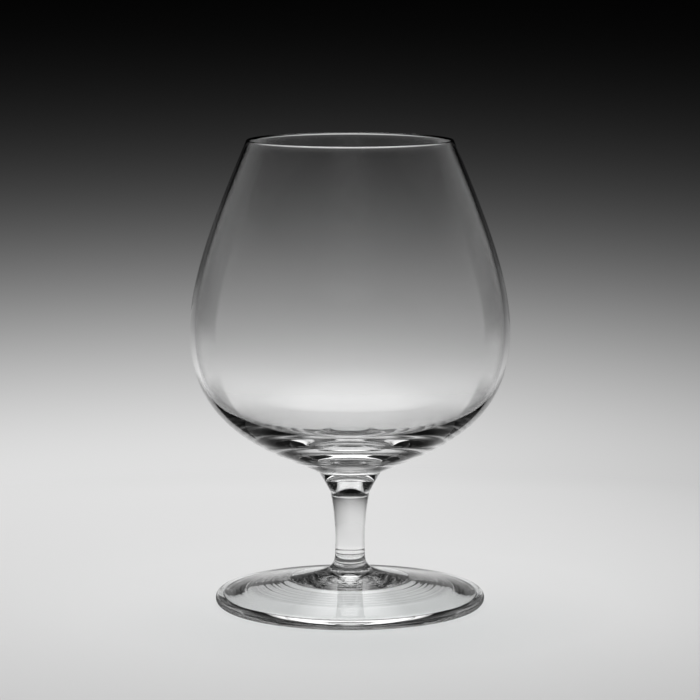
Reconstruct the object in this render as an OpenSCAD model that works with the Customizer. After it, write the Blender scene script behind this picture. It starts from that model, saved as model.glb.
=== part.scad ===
// Brandy snifter of clear crystal, made hot from three gathers: bowl, stem and foot.
// It stands on its foot at z = 0, round the Z axis. All lengths are in millimetres.

/* [Bowl] */
// Height of the bowl, from its joint with the stem to the top of the rim
bowl_h = 106.8; // [95:0.1:125]
// Outer radius of the wall at the rim
rim_r = 30.9; // [26:0.1:35]
// Inward lean of the wall at the rim, in degrees from upright
rim_lean = 23; // [14:0.5:30]
// Thickness of the wall at the rim
rim_wall = 1.1; // [0.7:0.1:2]
// Outer radius of the belly, the widest ring of the glass
belly_r = 47.9; // [45:0.1:56]
// Height of the belly above the stem joint
belly_h = 49.3; // [42:0.1:58]
// Thickness of the wall at the belly
belly_wall = 1.6; // [0.9:0.1:2.5]
// Thickness of the solid base on the axis, above the crease under the bowl
base_t = 9.2; // [4:0.1:14]
// Radius of the crease where the bowl meets the button that was drawn down from it
crease_r = 9.4; // [8:0.1:12]
// Height of the crease above the stem joint
crease_h = 7; // [4:0.1:12]
// Slope of the bowl's underside where it leaves the crease, in degrees from level
crease_slope = 27; // [15:0.5:40]

/* [Stem] */
// Length of the stem between its two joints
stem_l = 17.7; // [10:0.1:60]
// Radius of the stem at its joint with the bowl
stem_top_r = 5.75; // [4.8:0.05:7]
// Radius of the stem at its waist, the thinnest place
waist_r = 4.4; // [3.5:0.1:5]
// Height of the waist above the foot joint
waist_h = 2.4; // [1.5:0.1:6]
// Radius of the stem at its joint with the foot
stem_foot_r = 4.5; // [4:0.1:6]
// Radius of the rounding on both sides of each joint, which shows as a fine ring
joint_round = 0.2; // [0.1:0.05:0.5]

/* [Foot] */
// Height of the foot, from the table to its joint with the stem
foot_h = 15.5; // [13:0.1:22]
// Outer radius of the foot
foot_r = 40.5; // [34:0.1:48]
// Thickness of the rounded edge
edge_t = 3.8; // [2.5:0.1:5]
// Radius of the shoulder where the boss runs out into the cone of the foot
shoulder_r = 20; // [14:0.5:26]
// Height of the top face at the shoulder
shoulder_h = 7.5; // [6:0.1:10]
// Thickness of the foot between shoulder and edge
plate_t = 2; // [1.6:0.1:3.5]
// Rise of the hollow's flat ceiling above the underside at the shoulder
hollow_rise = 0.55; // [0:0.05:1.5]
// Width of the flat ring that the glass rests on
rest_w = 1; // [0.5:0.1:2]
// Width of the curve between the rest ring and the hollow
lip_w = 7.5; // [3:0.1:9]

/* [Hidden] */
$fn = 96;
glass = [0.84, 0.9, 0.9, 0.4];

// Straight runs that stand for each long curve, each short curve and each rounding
long_runs = 16;
short_runs = 10;
round_runs = 4;

// Levels of the two joints
foot_joint_z = foot_h;
bowl_joint_z = foot_joint_z + stem_l;
rim_top_z = bowl_joint_z + bowl_h;
belly_z = bowl_joint_z + belly_h;
crease_z = bowl_joint_z + crease_h;
floor_z = crease_z + base_t;

// Reach of the curve handles, as shares of the spans that they follow
rim_pull_share = 0.575;
belly_drop_share = 0.709;
crease_pull_share = 0.376;
floor_pull_share = 0.2;
neck_reach_share = 0.9;
neck_turn_share = 0.6;
corner_share = 0.25;
stem_in_share = 0.52;
stem_drop_share = 0.196;
waist_rise_share = 0.39;
boss_drop_share = 0.7;
boss_run_share = 0.77;
lip_rise_share = 0.2;
hollow_turn_share = 0.06;
ceiling_share = 0.86;

// Point of a cubic Bezier curve through the handles in p, at t from 0 to 1
function bez(p, t) =
    (1 - t) ^ 3 * p[0] + 3 * (1 - t) ^ 2 * t * p[1] + 3 * (1 - t) * t ^ 2 * p[2] + t ^ 3 * p[3];
// Direction of the same curve at t, and its unit normal on the left hand
function bez_dir(p, t) =
    3 * (1 - t) ^ 2 * (p[1] - p[0]) + 6 * (1 - t) * t * (p[2] - p[1]) + 3 * t ^ 2 * (p[3] - p[2]);
function left_of(v) = [-v[1], v[0]] / norm(v);
// Points along a curve, or along a circular arc from angle a to angle b
function curve(p, runs) = [for (i = [0 : runs]) bez(p, i / runs)];
function arc(centre, r, a, b) =
    [for (i = [0 : round_runs]) let (w = a + (b - a) * i / round_runs) centre + r * [cos(w), sin(w)]];
function ease(t) = t ^ 2 * (3 - 2 * t);
function backwards(list) = [for (i = [len(list) - 1 : -1 : 0]) list[i]];

// Outer wall at the rim. The rim is a full round across the leaning wall.
rim_out = [rim_r, rim_top_z - rim_wall / 2 * (1 - sin(rim_lean))];
rim_mid = rim_out - rim_wall / 2 * [cos(rim_lean), sin(rim_lean)];
rim_pull = rim_out + rim_pull_share * (belly_r - rim_r) * [1, -1 / tan(rim_lean)];

// Outer wall below the belly, down to the crease
belly = [belly_r, belly_z];
crease = [crease_r, crease_z];
belly_drop = belly_drop_share * (belly_z - crease_z);
crease_pull = crease + crease_pull_share * (belly_r - crease_r) * [cos(crease_slope), sin(crease_slope)];
// The handle above the belly makes the wall's curvature run on unbroken through the belly
belly_rise = belly_drop * sqrt((belly_r - rim_pull[0]) / (belly_r - crease_pull[0]));
upper_wall = [rim_out, rim_pull, belly + [0, belly_rise], belly];
lower_wall = [belly, belly - [0, belly_drop], crease_pull, crease];

// Inner wall: it keeps step with the outer wall down to the belly, then leaves it
// for a flatter bottom, so that the base is thick
inner_belly = belly - [belly_wall, 0];
inner_floor = [0, floor_z];
floor_pull = floor_pull_share * inner_belly[0];
// Radius of curvature of the outer wall at the belly, and the inner handle that follows it
belly_bend = 3 / 2 * belly_drop ^ 2 / (belly_r - crease_pull[0]);
inner_drop = sqrt(2 / 3 * (inner_belly[0] - floor_pull) * (belly_bend - belly_wall));
cavity = [inner_belly, inner_belly - [0, inner_drop], [floor_pull, floor_z], inner_floor];
function wall_at(t) = rim_wall + (belly_wall - rim_wall) * ease(t);
inner_upper = [for (i = [0 : long_runs]) let (t = i / long_runs)
    bez(upper_wall, t) - wall_at(t) * left_of(bez_dir(upper_wall, t))];

// Stem: it narrows fast from the bowl joint, then slowly to the waist, and widens a little at its heel
bowl_seat = [stem_top_r, bowl_joint_z];
stem_foot = [stem_foot_r, foot_joint_z];
waist = [waist_r, foot_joint_z + waist_h];
stem_span = bowl_seat - waist;
stem_pull = [stem_in_share * stem_span[0], stem_drop_share * stem_span[1]];
stem_side = [bowl_seat - [0, joint_round], bowl_seat - stem_pull, waist + [0, waist_rise_share * stem_span[1]], waist];
stem_heel = [waist, waist - [0, waist_h / 3], stem_foot + [0, waist_h / 2], stem_foot + [0, joint_round]];

// Button under the bowl: a cone from the crease that turns into the line of the stem just above the joint
corner = bowl_seat + corner_share * crease_h * [stem_pull[0] / stem_pull[1], 1];
neck = [crease, crease + neck_reach_share * (corner - crease), bowl_seat + neck_turn_share * (corner - bowl_seat),
    bowl_seat + [0, joint_round]];

module bowl() {
    outside = concat(curve(upper_wall, long_runs), curve(lower_wall, long_runs), curve(neck, short_runs));
    seat = concat(arc(bowl_seat + [-joint_round, joint_round], joint_round, 0, -90), [[0, bowl_joint_z]]);
    inside = concat(backwards(curve(cavity, long_runs)), backwards(inner_upper));
    rim = concat(arc(rim_mid, rim_wall / 2, rim_lean + 180, 90), arc(rim_mid, rim_wall / 2, 90, rim_lean));
    color(glass)
    rotate_extrude() polygon(concat(outside, seat, inside, rim));
}

module stem() {
    top = concat([[0, bowl_joint_z]], arc(bowl_seat - [joint_round, joint_round], joint_round, 90, 0));
    bottom = concat(arc(stem_foot + [-joint_round, joint_round], joint_round, 0, -90), [[0, foot_joint_z]]);
    color(glass)
    rotate_extrude() polygon(concat(top, curve(stem_side, long_runs), curve(stem_heel, short_runs), bottom));
}

// Foot: the top is a boss that runs out into a cone, which meets the round edge as a tangent
edge_r = edge_t / 2;
edge_mid = [foot_r - edge_r, edge_r];
shoulder = [shoulder_r, shoulder_h];
to_edge = edge_mid - shoulder;
cone_slope = atan2(-to_edge[1], to_edge[0]) - asin(edge_r / norm(to_edge));
down_cone = [cos(cone_slope), -sin(cone_slope)];
boss_top = stem_foot - [0, joint_round];
boss = [boss_top, boss_top - [0, boss_drop_share * (boss_top[1] - shoulder_h)],
    shoulder - boss_run_share * (shoulder_r - stem_foot_r) / down_cone[0] * down_cone, shoulder];

// Underside: flat rest ring, a curve up to the hollow, a face that follows the cone, then a flat ceiling
rest_in = [edge_mid[0] - rest_w, 0];
hollow_edge_r = rest_in[0] - lip_w;
function under_z(r) = shoulder_h - plate_t / down_cone[0] + (r - shoulder_r) * down_cone[1] / down_cone[0];
hollow_edge = [hollow_edge_r, under_z(hollow_edge_r)];
lip = [rest_in, rest_in - [lip_rise_share * lip_w, 0], hollow_edge + lip_rise_share * lip_w * down_cone, hollow_edge];
hollow_shoulder = [shoulder_r, under_z(shoulder_r)];
ceiling_z = hollow_shoulder[1] + hollow_rise;
ceiling_edge = [ceiling_share * shoulder_r, ceiling_z];
hollow = [hollow_shoulder, hollow_shoulder - hollow_turn_share * shoulder_r * down_cone,
    ceiling_edge + [hollow_turn_share * shoulder_r, 0], ceiling_edge];

module foot() {
    seat = concat([[0, foot_joint_z]], arc(stem_foot - [joint_round, joint_round], joint_round, 90, 0));
    edge = arc(edge_mid, edge_r, 90 - cone_slope, -90);
    underside = concat(curve(lip, short_runs), curve(hollow, short_runs), [[0, ceiling_z]]);
    color(glass)
    rotate_extrude() polygon(concat(seat, curve(boss, long_runs), edge, underside));
}

bowl();
stem();
foot();
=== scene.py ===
import bpy
from math import asin, atan2, cos, degrees, pi, radians, sin, sqrt, tan
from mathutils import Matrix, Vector


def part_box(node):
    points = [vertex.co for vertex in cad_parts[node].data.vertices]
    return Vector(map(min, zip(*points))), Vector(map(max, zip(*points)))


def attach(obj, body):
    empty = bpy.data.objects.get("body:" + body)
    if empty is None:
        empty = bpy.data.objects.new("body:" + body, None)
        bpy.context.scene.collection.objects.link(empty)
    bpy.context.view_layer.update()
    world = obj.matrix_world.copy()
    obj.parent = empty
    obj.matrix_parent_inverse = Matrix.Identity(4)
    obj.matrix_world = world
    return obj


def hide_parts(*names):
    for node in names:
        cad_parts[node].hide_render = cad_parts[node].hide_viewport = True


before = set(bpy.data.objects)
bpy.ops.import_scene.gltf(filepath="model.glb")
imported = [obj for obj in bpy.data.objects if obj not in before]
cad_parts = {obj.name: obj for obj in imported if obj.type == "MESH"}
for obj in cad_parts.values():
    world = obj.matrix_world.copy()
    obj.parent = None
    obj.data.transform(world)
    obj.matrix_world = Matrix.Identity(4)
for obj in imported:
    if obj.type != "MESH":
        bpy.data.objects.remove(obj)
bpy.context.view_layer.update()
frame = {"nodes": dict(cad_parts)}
print("frame loaded:", ", ".join(frame["nodes"]))

mm = 0.001
hair = 0.001 * mm  # points closer than this are one point

# levels of the pieces, read from the construction
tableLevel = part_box("foot")[0][2]
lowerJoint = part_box("stem")[0][2]
bowlLow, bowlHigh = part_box("bowl")
upperJoint, rimLevel = bowlLow[2], bowlHigh[2]


# profile drawing: a spot is a radius and a height, kept as x and y of a flat vector

def spot(r, z):
    return Vector((r, z))


def heading(angle):  # unit step, 0 degrees points away from the axis and 90 points up
    return spot(cos(radians(angle)), sin(radians(angle)))


def straight(a, b):
    return (a, a.lerp(b, 1 / 3), a.lerp(b, 2 / 3), b)


def arc(centre, radius, start, end):  # one Bezier leg of a circle, start and end in degrees
    reach = 4 / 3 * tan(radians(end - start) / 4) * radius
    a, b = centre + radius * heading(start), centre + radius * heading(end)
    return (a, a + reach * heading(start + 90), b - reach * heading(end + 90), b)


def drawProfile(name, legs):  # each leg is (four Bezier points, steps)
    bpy.ops.object.select_all(action="DESELECT")
    bpy.ops.curve.primitive_bezier_curve_add(location=(0, 0, 0))
    profile = bpy.context.object
    profile.name = name
    profile.data.splines.clear()
    for points, steps in legs:
        spline = profile.data.splines.new("BEZIER")
        spline.bezier_points.add(1)
        spline.resolution_u = steps
        first, last = spline.bezier_points
        for knot in (first, last):
            knot.handle_left_type = knot.handle_right_type = "FREE"
        corners = [Vector((p.x, 0, p.y)) for p in points]
        first.co, first.handle_right, last.handle_left, last.co = corners
        first.handle_left, last.handle_right = corners[0], corners[3]
    bpy.ops.object.convert(target="MESH")
    return bpy.context.object


def revolve(name, legs, steps, sharpAbove=30):  # spins a profile once round the upright axis
    piece = drawProfile(name, legs)
    bpy.ops.object.mode_set(mode="EDIT")
    bpy.ops.mesh.select_all(action="SELECT")
    bpy.ops.mesh.remove_doubles(threshold=hair)
    bpy.ops.mesh.spin(steps=steps, angle=2 * pi, center=(0, 0, 0), axis=(0, 0, 1))
    bpy.ops.mesh.select_all(action="SELECT")
    bpy.ops.mesh.remove_doubles(threshold=hair)
    bpy.ops.mesh.normals_make_consistent(inside=False)
    bpy.ops.object.mode_set(mode="OBJECT")
    bpy.ops.object.shade_smooth_by_angle(angle=radians(sharpAbove))
    return piece


# stem

stemSizes = {
    "topRadius": 5.75 * mm,
    "waistRadius": 4.4 * mm,
    "waistHeight": 2.4 * mm,   # above the lower joint
    "heelRadius": 4.5 * mm,
    "ringRounding": 0.2 * mm,  # on both sides of each joint, where it shows as a fine ring
    "narrowing": 0.52,         # reach of the handles, as shares of the spans that they follow
    "topDrop": 0.196,
    "waistRise": 0.39,
    "heelSteps": 16,           # straight runs that stand for each curve
    "sideSteps": 48,
    "ringSteps": 6,
    "roundSteps": 192,
}


def makeStem(s):
    fine = s["ringRounding"]
    top, heel = spot(s["topRadius"], upperJoint), spot(s["heelRadius"], lowerJoint)
    waist = spot(s["waistRadius"], lowerJoint + s["waistHeight"])
    span = top - waist
    heelPull = heel + spot(0, s["waistHeight"] / 2)
    waistDrop = waist - spot(0, s["waistHeight"] / 3)
    waistRise = waist + spot(0, s["waistRise"] * span.y)
    topPull = top - spot(s["narrowing"] * span.x, s["topDrop"] * span.y)
    legs = [
        (straight(spot(0, heel.y), heel - spot(fine, 0)), 1),
        (arc(heel + spot(-fine, fine), fine, -90, 0), s["ringSteps"]),
        ((heel + spot(0, fine), heelPull, waistDrop, waist), s["heelSteps"]),
        ((waist, waistRise, topPull, top - spot(0, fine)), s["sideSteps"]),
        (arc(top - spot(fine, fine), fine, 0, 90), s["ringSteps"]),
        (straight(top - spot(fine, 0), spot(0, top.y)), 1),
    ]
    return revolve("drawn_stem", legs, s["roundSteps"])


def stemLean(s):  # run over rise of the stem's side where it meets the bowl
    rise = upperJoint - lowerJoint - s["waistHeight"]
    return s["narrowing"] * (s["topRadius"] - s["waistRadius"]) / (s["topDrop"] * rise)


# bowl, with the button that was drawn down from it

bowlSizes = {
    "rimRadius": 30.9 * mm,
    "rimLean": 23,             # degrees from upright
    "rimWall": 1.1 * mm,
    "bellyRadius": 47.9 * mm,
    "bellyHeight": 49.3 * mm,  # above the upper joint
    "bellyWall": 1.6 * mm,
    "creaseRadius": 9.4 * mm,
    "creaseHeight": 7 * mm,
    "creaseSlope": 27,         # degrees from level
    "baseThickness": 9.2 * mm,
    "rimPull": 0.575,          # reach of the handles, as shares of the spans that they follow
    "innerRimPull": 0.99,      # of the handle on the outside
    "bellyDrop": 0.709,
    "creasePull": 0.376,
    "floorPull": 0.2,
    "neckReach": 0.9,
    "neckTurn": 0.6,
    "cornerRise": 0.25,
    "neckSteps": 32,           # straight runs that stand for each curve
    "lowerSteps": 64,
    "upperSteps": 48,
    "outerRimSteps": 6,
    "innerRimSteps": 8,
    "ringSteps": 6,
    "roundSteps": 256,
}


def makeBowl(s, below):  # below is the stem that it is fused to
    wall, lean, fine = s["rimWall"], heading(s["rimLean"]), below["ringRounding"]
    rimOut = spot(s["rimRadius"], rimLevel - wall / 2 * (1 - lean.y))
    rimMid = rimOut - wall / 2 * lean
    rimIn = rimOut - wall * lean
    belly = spot(s["bellyRadius"], upperJoint + s["bellyHeight"])
    crease = spot(s["creaseRadius"], upperJoint + s["creaseHeight"])
    floor = spot(0, crease.y + s["baseThickness"])

    # outer wall, whose curvature runs on unbroken through the belly
    rimPull = s["rimPull"] * (belly.x - rimOut.x) * spot(1, -1 / tan(radians(s["rimLean"])))
    bellyDrop = s["bellyDrop"] * (belly.y - crease.y)
    creasePull = crease + s["creasePull"] * (belly.x - crease.x) * heading(s["creaseSlope"])
    lowerSwell = belly.x - creasePull.x
    bellyRise = bellyDrop * sqrt((belly.x - rimOut.x - rimPull.x) / lowerSwell)
    bellyBend = 3 / 2 * bellyDrop ** 2 / lowerSwell  # radius of curvature at the belly

    # inner wall, which keeps step down to the belly and then leaves it for a flatter bottom
    innerBelly = belly - spot(s["bellyWall"], 0)
    innerRise = innerBelly + spot(0, bellyRise * (1 - s["bellyWall"] / bellyBend))
    innerRimPull = rimIn + s["innerRimPull"] * rimPull
    floorPull = spot(s["floorPull"] * innerBelly.x, floor.y)
    innerBend = bellyBend - s["bellyWall"]
    innerDrop = innerBelly - spot(0, sqrt(2 / 3 * (innerBelly.x - floorPull.x) * innerBend))

    # button, a cone from the crease that turns into the line of the stem
    seat = spot(below["topRadius"], upperJoint)
    corner = seat + s["cornerRise"] * (crease.y - seat.y) * spot(stemLean(below), 1)
    neckTurn = seat.lerp(corner, s["neckTurn"])
    neckReach = crease.lerp(corner, s["neckReach"])

    legs = [
        (straight(spot(0, seat.y), seat - spot(fine, 0)), 1),
        (arc(seat + spot(-fine, fine), fine, -90, 0), s["ringSteps"]),
        ((seat + spot(0, fine), neckTurn, neckReach, crease), s["neckSteps"]),
        ((crease, creasePull, belly - spot(0, bellyDrop), belly), s["lowerSteps"]),
        ((belly, belly + spot(0, bellyRise), rimOut + rimPull, rimOut), s["upperSteps"]),
        (arc(rimMid, wall / 2, s["rimLean"], 90), s["outerRimSteps"]),
        (arc(rimMid, wall / 2, 90, 180 + s["rimLean"]), s["innerRimSteps"]),
        ((rimIn, innerRimPull, innerRise, innerBelly), s["upperSteps"]),
        ((innerBelly, innerDrop, floorPull, floor), s["lowerSteps"]),
    ]
    return revolve("blown_bowl", legs, s["roundSteps"])


# foot

footSizes = {
    "radius": 40.5 * mm,
    "edgeThickness": 3.8 * mm,
    "shoulderRadius": 20 * mm,
    "shoulderHeight": 7.5 * mm,
    "plateThickness": 2 * mm,
    "hollowRise": 0.55 * mm,  # of the flat ceiling above the underside at the shoulder
    "restWidth": 1 * mm,
    "lipWidth": 7.5 * mm,
    "bossDrop": 0.7,          # reach of the handles, as shares of the spans that they follow
    "bossRun": 0.77,
    "lipRise": 0.2,
    "hollowTurn": 0.06,
    "ceilingShare": 0.86,     # of the shoulder's radius, where the hollow is flat
    "bossSteps": 64,          # straight runs that stand for each curve
    "lipSteps": 16,
    "plainSteps": 12,
    "ringSteps": 6,
    "roundSteps": 256,
}


def makeFoot(s, above):  # above is the stem that stands on it
    fine, edge, plain = above["ringRounding"], s["edgeThickness"] / 2, s["plainSteps"]
    seat = spot(above["heelRadius"], lowerJoint)
    edgeMid = spot(s["radius"] - edge, tableLevel + edge)
    restOut = spot(edgeMid.x, tableLevel)
    restIn = restOut - spot(s["restWidth"], 0)

    # top, a boss that runs out into a cone, which meets the round edge as a tangent
    shoulder = spot(s["shoulderRadius"], tableLevel + s["shoulderHeight"])
    toEdge = edgeMid - shoulder
    coneSlope = atan2(-toEdge.y, toEdge.x) - asin(edge / toEdge.length)
    down = spot(cos(coneSlope), -sin(coneSlope))
    edgeTop = edgeMid + edge * spot(sin(coneSlope), cos(coneSlope))
    bossTop = seat - spot(0, fine)
    bossDrop = bossTop - spot(0, s["bossDrop"] * (bossTop.y - shoulder.y))
    bossRun = shoulder - s["bossRun"] * (shoulder.x - seat.x) / down.x * down

    # underside, which follows the cone between the lip and a flat ceiling
    def under(r):
        return spot(r, shoulder.y - s["plateThickness"] / down.x + (r - shoulder.x) * down.y / down.x)

    lip = s["lipRise"] * s["lipWidth"]
    lipTop = under(restIn.x - s["lipWidth"])
    hollowShoulder = under(shoulder.x)
    centre = spot(0, hollowShoulder.y + s["hollowRise"])
    ceilingEdge = spot(s["ceilingShare"] * shoulder.x, centre.y)
    turn = s["hollowTurn"] * shoulder.x

    legs = [
        (straight(spot(0, seat.y), seat - spot(fine, 0)), 1),
        (arc(seat - spot(fine, fine), fine, 90, 0), s["ringSteps"]),
        ((bossTop, bossDrop, bossRun, shoulder), s["bossSteps"]),
        (straight(shoulder, edgeTop), plain),
        (arc(edgeMid, edge, 90 - degrees(coneSlope), 0), plain),
        (arc(edgeMid, edge, 0, -90), plain),
        (straight(restOut, restIn), 1),
        ((restIn, restIn - spot(lip, 0), lipTop + lip * down, lipTop), s["lipSteps"]),
        (straight(lipTop, hollowShoulder), plain),
        ((hollowShoulder, hollowShoulder - turn * down, ceilingEdge + spot(turn, 0), ceilingEdge), plain),
        (straight(ceilingEdge, centre), plain),
    ]
    return revolve("spun_foot", legs, s["roundSteps"])


bowl = makeBowl(bowlSizes, stemSizes)
stem = makeStem(stemSizes)
foot = makeFoot(footSizes, stemSizes)
print("pieces revolved:", bowl.name, stem.name, foot.name)


# shader helpers

def mathNode(tree, operation, first, second=None, clamp=False):
    made = tree.nodes.new("ShaderNodeMath")
    made.operation = operation
    made.use_clamp = clamp
    for socket, value in zip(made.inputs, (first, second)):
        if isinstance(value, bpy.types.NodeSocket):
            tree.links.new(value, socket)
        elif value is not None:
            socket.default_value = value
    return made.outputs[0]


def product(tree, value, *factors):
    for factor in factors:
        value = mathNode(tree, "MULTIPLY", value, factor)
    return value


def ramp(tree, source, stops):  # each stop is (place, level)
    made = tree.nodes.new("ShaderNodeValToRGB")
    elements = made.color_ramp.elements
    while len(elements) < len(stops):
        elements.new(1.0)
    for element, (place, level) in zip(elements, stops):
        element.position = place
        element.color = (level, level, level, 1)
    tree.links.new(source, made.inputs["Fac"])
    return made.outputs["Color"]


def objectPlace(tree):
    return tree.nodes.new("ShaderNodeTexCoord").outputs["Object"]


def splitPlace(tree, place):
    made = tree.nodes.new("ShaderNodeSeparateXYZ")
    tree.links.new(place, made.inputs[0])
    return made.outputs


def distanceFromAxis(tree, x, y):
    return mathNode(tree, "SQRT", mathNode(tree, "ADD", product(tree, x, x), product(tree, y, y)))


def wayRound(tree, x, y):  # from 0 on the camera's side to 1 straight behind the glass
    turn = mathNode(tree, "ARCTAN2", mathNode(tree, "ABSOLUTE", x), mathNode(tree, "MULTIPLY", y, -1))
    return mathNode(tree, "DIVIDE", turn, pi)


def atLeast(tree, count, least):  # 1 where a whole count reaches this one, otherwise 0
    return mathNode(tree, "GREATER_THAN", count, least - 0.5)


def newMaterial(name):
    material = bpy.data.materials.new(name)
    material.use_nodes = True
    return material, material.node_tree


def mixShaders(tree, share, first, second):
    made = tree.nodes.new("ShaderNodeMixShader")
    for source, socket in zip((share, first, second), made.inputs):
        tree.links.new(source, socket)
    return made.outputs["Shader"]


def seeThrough(tree, color=(1, 1, 1, 1)):
    made = tree.nodes.new("ShaderNodeBsdfTransparent")
    made.inputs["Color"].default_value = color
    return made.outputs["BSDF"]


def showShader(tree, shader):
    tree.links.new(shader, tree.nodes["Material Output"].inputs["Surface"])


# crystal

finish = {
    "tint": (0.998, 0.999, 0.999, 1),
    "ior": 1.53,
    "shadowTint": (0.97, 0.975, 0.975, 1),
    "rippleSize": 55,          # waves per metre that the hot glass kept from the tools
    "rippleDepth": 0.03 * mm,
    "ringSpacing": 1.7 * mm,   # of the marks that spinning left under the foot
    "ringDepth": 0.005 * mm,
    "fineRingShare": 0.6,      # of that spacing and depth, for the finer marks between them
}


def heightGroup(name, amount):  # turns a place, an amount and a depth into a height in metres
    group = bpy.data.node_groups.new(name, "ShaderNodeTree")
    group.interface.new_socket(name="Place", in_out="INPUT", socket_type="NodeSocketVector")
    group.interface.new_socket(name=amount, in_out="INPUT", socket_type="NodeSocketFloat")
    group.interface.new_socket(name="Depth", in_out="INPUT", socket_type="NodeSocketFloat")
    group.interface.new_socket(name="Height", in_out="OUTPUT", socket_type="NodeSocketFloat")
    return group, group.nodes.new("NodeGroupInput").outputs, group.nodes.new("NodeGroupOutput").inputs


def toolRipple():  # slow waves in the surface
    group, given, result = heightGroup("tool_ripple", "Waves")
    waves = group.nodes.new("ShaderNodeTexNoise")
    waves.inputs["Detail"].default_value = 1
    group.links.new(given["Place"], waves.inputs["Vector"])
    group.links.new(given["Waves"], waves.inputs["Scale"])
    group.links.new(product(group, waves.outputs["Fac"], given["Depth"]), result["Height"])
    return group


def spinRings():  # fine rings round the upright axis
    group, given, result = heightGroup("spin_rings", "Spacing")
    x, y, z = splitPlace(group, given["Place"])
    count = mathNode(group, "DIVIDE", distanceFromAxis(group, x, y), given["Spacing"])
    turns = product(group, count, 2 * pi)
    broad = mathNode(group, "SINE", turns)
    fine = mathNode(group, "SINE", mathNode(group, "DIVIDE", turns, finish["fineRingShare"]))
    both = mathNode(group, "ADD", broad, product(group, fine, finish["fineRingShare"]))
    group.links.new(product(group, both, given["Depth"]), result["Height"])
    return group


def placeGroup(tree, group, place, values):
    made = tree.nodes.new("ShaderNodeGroup")
    made.node_tree = group
    tree.links.new(place, made.inputs["Place"])
    for name, value in values.items():
        made.inputs[name].default_value = value
    return made.outputs["Height"]


def crystal(name, ringDepth):
    material, tree = newMaterial(name)
    surface = tree.nodes["Principled BSDF"]
    surface.inputs["Base Color"].default_value = finish["tint"]
    surface.inputs["Roughness"].default_value = 0.0
    surface.inputs["IOR"].default_value = finish["ior"]
    surface.inputs["Transmission Weight"].default_value = 1
    place = objectPlace(tree)
    toolMarks = {"Waves": finish["rippleSize"], "Depth": finish["rippleDepth"]}
    spinMarks = {"Spacing": finish["ringSpacing"], "Depth": ringDepth}
    ripple, ring = placeGroup(tree, ripples, place, toolMarks), placeGroup(tree, rings, place, spinMarks)
    bump = tree.nodes.new("ShaderNodeBump")
    bump.inputs["Distance"].default_value = 1
    tree.links.new(mathNode(tree, "ADD", ripple, ring), bump.inputs["Height"])
    tree.links.new(bump.outputs["Normal"], surface.inputs["Normal"])
    shadowRay = tree.nodes.new("ShaderNodeLightPath").outputs["Is Shadow Ray"]
    clear = seeThrough(tree, finish["shadowTint"])
    showShader(tree, mixShaders(tree, shadowRay, surface.outputs["BSDF"], clear))
    return material


def fusedFace():  # two pieces touch here, and light passes from one to the other
    material, tree = newMaterial("fused_face")
    tree.nodes["Principled BSDF"].inputs["Alpha"].default_value = 0
    return material


ripples, rings, fused = toolRipple(), spinRings(), fusedFace()


def atJoint(face, joints):  # level, and at the height of a joint
    return abs(face.normal.z) > 0.999 and any(abs(face.center.z - level) < hair for level in joints)


def isUnderside(face):  # looks down, and is clear of the table
    return face.normal.z < -0.7 and face.center.z > tableLevel + 10 * hair


def dress(piece, name, joints, spunUnderside):
    piece.data.materials.clear()
    piece.data.materials.append(crystal(name + "_crystal", 0))
    piece.data.materials.append(fused)
    if spunUnderside:
        piece.data.materials.append(crystal(name + "_underside_crystal", finish["ringDepth"]))
    for face in piece.data.polygons:
        if atJoint(face, joints):
            face.material_index = 1
        elif spunUnderside and isUnderside(face):
            face.material_index = 2


for piece, nodeName, joints, spunUnderside in (
        (bowl, "bowl", (upperJoint,), False),
        (stem, "stem", (lowerJoint, upperJoint), False),
        (foot, "foot", (lowerJoint,), True)):
    dress(piece, nodeName, joints, spunUnderside)
    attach(piece, "root")
    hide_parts(nodeName)
print("crystal dressed")


# studio paper

sheet = {
    "floorRadius": 0.24,       # the paper lies flat up to here, then sweeps up all round
    "sweepRadius": 0.32,
    "sweepHeight": 0.18,
    "floorColor": 0.78,
    "backdropLevel": 0.735,    # brightness of the sweep where it leaves the floor
    "backdropFade": 0.0535,    # height that it climbs while this falls to about a third
    "fadePower": 1.58,
    "sideFade": 1.7,           # loss of the backdrop's brightness to the right, per metre
    "frontToBack": ((0.19, 0.3), (0.3, 0.75), (0.8, 1)),  # brightness from the camera's side to the back
    "litToGlowing": ((0.35, 0), (1, 1)),  # by radius, as a share of the flat floor's
    "mirroredFloor": 0.08,     # shares of the brightness that the glass mirrors, where the paper is painted darker in its reflections: painted shade
    "mirroredFront": 0.2,
    "mirroredFoot": 0.15,      # of the foot of the backdrop, which the far wall of the bowl mirrors inside, painted darker there
    "nearFloor": ((0.22, 1), (0.45, 0)),  # by radius, where the floor is painted that much darker as the glass mirrors it: painted shade
    # painted shadow under the foot, on the floor as the glass mirrors it more than once
    "underFoot": ((0.16, 1), (0.2, 0)),
    "inFront": ((0.7, 1), (0.79, 0)),     # by the way round from the camera's side
    "backdropFoot": ((0.15, 1), (0.32, 0)),  # by height, as a share of the sweep's
    "flatSteps": 12,
    "bendSteps": 24,
    "roundSteps": 128,
}


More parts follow.
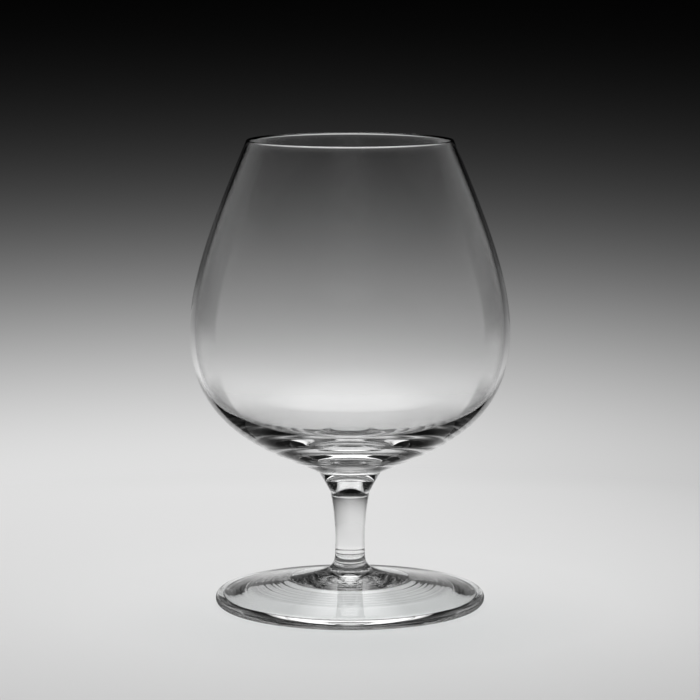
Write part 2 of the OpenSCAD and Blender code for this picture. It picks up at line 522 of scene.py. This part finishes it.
def backdropGlow(tree, x, y, z, reflectionShade):
    climb = mathNode(tree, "DIVIDE", mathNode(tree, "MAXIMUM", z, 0), sheet["backdropFade"])
    fall = mathNode(tree, "MULTIPLY", mathNode(tree, "POWER", climb, sheet["fadePower"]), -1)
    level = product(tree, mathNode(tree, "EXPONENT", fall), sheet["backdropLevel"])
    toRight = product(tree, mathNode(tree, "MAXIMUM", x, 0), sheet["sideFade"])
    side = mathNode(tree, "SUBTRACT", 1, toRight)
    depth = mathNode(tree, "ADD", mathNode(tree, "DIVIDE", y, 2 * sheet["sweepRadius"]), 0.5)
    front = ramp(tree, depth, sheet["frontToBack"])
    kept = mathNode(tree, "SUBTRACT", 1, reflectionShade)
    path = tree.nodes.new("ShaderNodeLightPath").outputs
    byGlass = mathNode(tree, "ADD", path["Is Glossy Ray"], path["Is Transmission Ray"])
    seen = mathNode(tree, "ADD", path["Is Camera Ray"], byGlass, clamp=True)
    glow = tree.nodes.new("ShaderNodeEmission")
    tree.links.new(level, glow.inputs["Color"])
    tree.links.new(product(tree, seen, side, front, kept), glow.inputs["Strength"])
    return glow.outputs["Emission"]


def mirroredShade(tree, x, y, z, radius):  # painted shade in the glass's reflections, for the glowing backdrop and for the lit floor, with a painted shadow under the foot
    path = tree.nodes.new("ShaderNodeLightPath").outputs
    again = atLeast(tree, path["Glossy Depth"], 2)
    once = mathNode(tree, "SUBTRACT", atLeast(tree, path["Glossy Depth"], 1), again)
    insideBowl = atLeast(tree, path["Transmission Depth"], 3)
    inFront = ramp(tree, wayRound(tree, x, y), sheet["inFront"])
    frontShade = product(tree, once, inFront, 1 - sheet["mirroredFront"])
    foot = ramp(tree, mathNode(tree, "DIVIDE", z, sheet["sweepHeight"]), sheet["backdropFoot"])
    footShade = product(tree, once, insideBowl, foot, 1 - sheet["mirroredFoot"])
    nearOnce = product(tree, once, ramp(tree, radius, sheet["nearFloor"]))
    # painted shadow under the foot, where the floor is mirrored more than once
    underFootShadow = product(tree, again, ramp(tree, radius, sheet["underFoot"]))
    floorShade = product(tree, mathNode(tree, "ADD", nearOnce, underFootShadow), 1 - sheet["mirroredFloor"])
    return mathNode(tree, "MAXIMUM", frontShade, footShade), mathNode(tree, "MAXIMUM", floorShade, frontShade)


def studioPaper():  # a matt floor near the glass that turns into the graded backdrop, both painted darker where the glass mirrors them
    material, tree = newMaterial("studio_paper")
    matt = tree.nodes["Principled BSDF"]
    matt.inputs["Base Color"].default_value = (sheet["floorColor"],) * 3 + (1,)
    matt.inputs["Roughness"].default_value = 1
    matt.inputs["Specular IOR Level"].default_value = 0
    black = tree.nodes.new("ShaderNodeEmission")
    black.inputs["Strength"].default_value = 0
    x, y, z = splitPlace(tree, objectPlace(tree))
    radius = mathNode(tree, "DIVIDE", distanceFromAxis(tree, x, y), sheet["floorRadius"])
    glowShade, floorShade = mirroredShade(tree, x, y, z, radius)
    # the floor is mixed towards black where the glass mirrors it: painted shade, and a painted shadow
    # under the foot
    floor = mixShaders(tree, floorShade, matt.outputs["BSDF"], black.outputs["Emission"])
    glow = backdropGlow(tree, x, y, z, glowShade)
    whole = mixShaders(tree, ramp(tree, radius, sheet["litToGlowing"]), floor, glow)
    backOfPaper = tree.nodes.new("ShaderNodeNewGeometry").outputs["Backfacing"]
    showShader(tree, mixShaders(tree, backOfPaper, whole, seeThrough(tree)))  # the near side hides nothing
    return material


def makePaper(s):
    flat, wide = s["floorRadius"], s["sweepRadius"]
    bend = wide - flat
    sweep = revolve("studio_sweep", [
        (straight(spot(0, 0), spot(flat, 0)), s["flatSteps"]),
        (arc(spot(flat, bend), bend, -90, 0), s["bendSteps"]),
        (straight(spot(wide, bend), spot(wide, s["sweepHeight"])), s["flatSteps"]),
    ], s["roundSteps"])
    middle = min(sweep.data.polygons, key=lambda face: face.center.xy.length)
    if middle.normal.z < 0:  # an open shape can come out either way round
        sweep.data.flip_normals()
    sweep.data.materials.append(studioPaper())


# softbox over and behind the glass, in two panels that only the glass shows

softbox = {
    "height": 1.2,
    "panels": (                # name, width, near edge, far edge, level
        ("softbox_panel", 1.6, -1.0, 1.3, 1.8),
        ("softbox_strip", 0.42, 1.2, 1.98, 1.3),
    ),
    "seamAcross": ((0.4, 1), (1, 0)),  # from the middle to the sides
    "seamAlong": ((0, 0), (0.4, 0.4), (0.6, 1), (0.85, 1), (1, 0.3)),  # from the near edge to the far one
}


def softboxCloth(name, width, near, far, level):
    material, tree = newMaterial(name + "_cloth")
    surface = tree.nodes["Principled BSDF"]
    surface.inputs["Base Color"].default_value = (0, 0, 0, 1)
    surface.inputs["Emission Color"].default_value = (1, 1, 1, 1)
    x, y, z = splitPlace(tree, objectPlace(tree))
    across = mathNode(tree, "DIVIDE", mathNode(tree, "ABSOLUTE", x), width / 2)
    along = mathNode(tree, "DIVIDE", mathNode(tree, "SUBTRACT", y, near), far - near)
    acrossFade = ramp(tree, across, softbox["seamAcross"])
    alongFade = ramp(tree, along, softbox["seamAlong"])
    tree.links.new(product(tree, acrossFade, alongFade, level), surface.inputs["Emission Strength"])
    return material


def makeSoftbox(s):
    for name, width, near, far, level in s["panels"]:
        bpy.ops.object.select_all(action="DESELECT")
        bpy.ops.mesh.primitive_plane_add(size=1, location=(0, (near + far) / 2, s["height"]))
        panel = bpy.context.object
        panel.name = name
        panel.scale = (width, far - near, 1)
        bpy.ops.object.transform_apply(location=True, rotation=True, scale=True)
        panel.data.materials.append(softboxCloth(name, width, near, far, level))
        panel.visible_camera = panel.visible_diffuse = panel.visible_shadow = False
        panel.visible_transmission = name == "softbox_panel"  # the strip shows on the foot only


# glowing cards round the front and the sides, which only the outside of the glass mirrors: painted
# reflections, their glow graded by height and place

cards = {
    "innerRadius": 0.08,
    "radius": 0.3,
    "bend": 0.06,
    "height": 0.5,
    "lift": 0.4 * mm,          # clear of the paper
    "floorLevels": ((0, 0), (0.15, 1.3), (1, 1)),  # from the inner radius to the wall
    "frontLevels": (           # of the wall in front, from the table to the top
        (0, 1.3), (0.12, 1.1), (0.22, 0.85), (0.3, 0.62),
        (0.4, 0.35), (0.5, 0.08), (0.7, 0.03)),
    "sideLevels": (            # of the wall at the sides
        (0, 1.3), (0.08, 1.1), (0.15, 0.15), (0.22, 0.05),
        (0.32, 0.28), (0.42, 0.28), (0.56, 0.08), (1, 0.05)),
    "darkest": 0.01,           # where the floor level is no more than this, there is no card
    "sideStart": 106,          # degrees round from the camera's side
    "sideEnd": 140,
    "seam": 0.02,              # width of their edges, as a share of half a turn
    "sideFade": 0.1,           # width over which the side cards fade out
    "sideNear": ((0.5, 0), (0.75, 1)),  # by radius, as a share of the wall's, where they begin
    "steps": 12,
    "roundSteps": 96,
}


def glowingCardReflections():
    material, tree = newMaterial("card_glow_reflection")
    x, y, z = splitPlace(tree, objectPlace(tree))
    radius, turn = distanceFromAxis(tree, x, y), wayRound(tree, x, y)
    climb = mathNode(tree, "DIVIDE", z, cards["height"])
    start, end, seam = cards["sideStart"] / 180, cards["sideEnd"] / 180, cards["seam"]
    out = mathNode(tree, "DIVIDE", mathNode(tree, "SUBTRACT", radius, cards["innerRadius"]),
                   cards["radius"] - cards["innerRadius"])
    onFloor = ramp(tree, out, cards["floorLevels"])
    inFront = ramp(tree, turn, ((start - seam, 1), (start, 0)))
    beside = ramp(tree, turn, ((start - seam, 0), (start, 1), (end - cards["sideFade"], 1), (end, 0)))
    offTable = ramp(tree, mathNode(tree, "DIVIDE", radius, cards["radius"]), cards["sideNear"])
    front = product(tree, ramp(tree, climb, cards["frontLevels"]), inFront)
    side = product(tree, ramp(tree, climb, cards["sideLevels"]), beside, offTable)
    # the cards glow instead of being lit, so what the glass mirrors of them is painted reflection
    glow = tree.nodes.new("ShaderNodeEmission")
    tree.links.new(product(tree, onFloor, mathNode(tree, "ADD", front, side)), glow.inputs["Strength"])
    ends = ramp(tree, turn, ((end - seam, 1), (end, 0)))
    solid = product(tree, ends, mathNode(tree, "GREATER_THAN", onFloor, cards["darkest"]))
    showShader(tree, mixShaders(tree, solid, seeThrough(tree), glow.outputs["Emission"]))
    return material


def makeCards(s):
    flat, bendTop = s["radius"] - s["bend"], s["lift"] + s["bend"]
    card = revolve("glowing_cards", [
        (straight(spot(s["innerRadius"], s["lift"]), spot(flat, s["lift"])), s["steps"]),
        (arc(spot(flat, bendTop), s["bend"], -90, 0), s["steps"]),
        (straight(spot(s["radius"], bendTop), spot(s["radius"], s["height"])), s["steps"]),
    ], s["roundSteps"])
    card.data.materials.append(glowingCardReflections())
    card.visible_camera = card.visible_diffuse = False
    card.visible_transmission = card.visible_shadow = False


makePaper(sheet)
makeSoftbox(softbox)
makeCards(cards)

# lamp that lights the floor, and the dark room

lights = {
    "place": (-0.1, 0.7, 1.6),
    "width": 1.2,
    "power": 34,
    "room": 0.003,  # brightness of the dark room
    "turns": 24,    # how many times light may turn in the thick base
}

bpy.ops.object.light_add(type="AREA", location=lights["place"])
lamp = bpy.context.object
lamp.name = "overhead_lamp"
lamp.data.shape = "DISK"
lamp.data.size = lights["width"]
lamp.data.energy = lights["power"]
lamp.visible_camera = lamp.visible_glossy = lamp.visible_transmission = False

world = bpy.data.worlds.new("dark_studio")
bpy.context.scene.world = world
world.use_nodes = True
background = world.node_tree.nodes["Background"]
background.inputs["Color"].default_value = (1, 1, 1, 1)
background.inputs["Strength"].default_value = lights["room"]

paths = bpy.context.scene.cycles
paths.max_bounces = paths.transmission_bounces = paths.glossy_bounces = lights["turns"]
paths.transparent_max_bounces = lights["turns"]
print("studio lit")

# camera

view = {
    "distance": 972.56 * mm,
    "height": 209.06 * mm,
    "tilt": 7.735,     # degrees below level
    "lens": 168.69,    # in millimetres, as the sensor's width is
    "sensor": 36,
    "nearest": 0.05,
    "farthest": 50,
}

bpy.ops.object.camera_add(
    location=(0, -view["distance"], view["height"]), rotation=(radians(90 - view["tilt"]), 0, 0))
camera = bpy.context.object
camera.data.lens = view["lens"]
camera.data.sensor_width = view["sensor"]
camera.data.clip_start = view["nearest"]
camera.data.clip_end = view["farthest"]
bpy.context.scene.camera = camera
bpy.context.scene.view_settings.view_transform = "Standard"
print("camera placed")
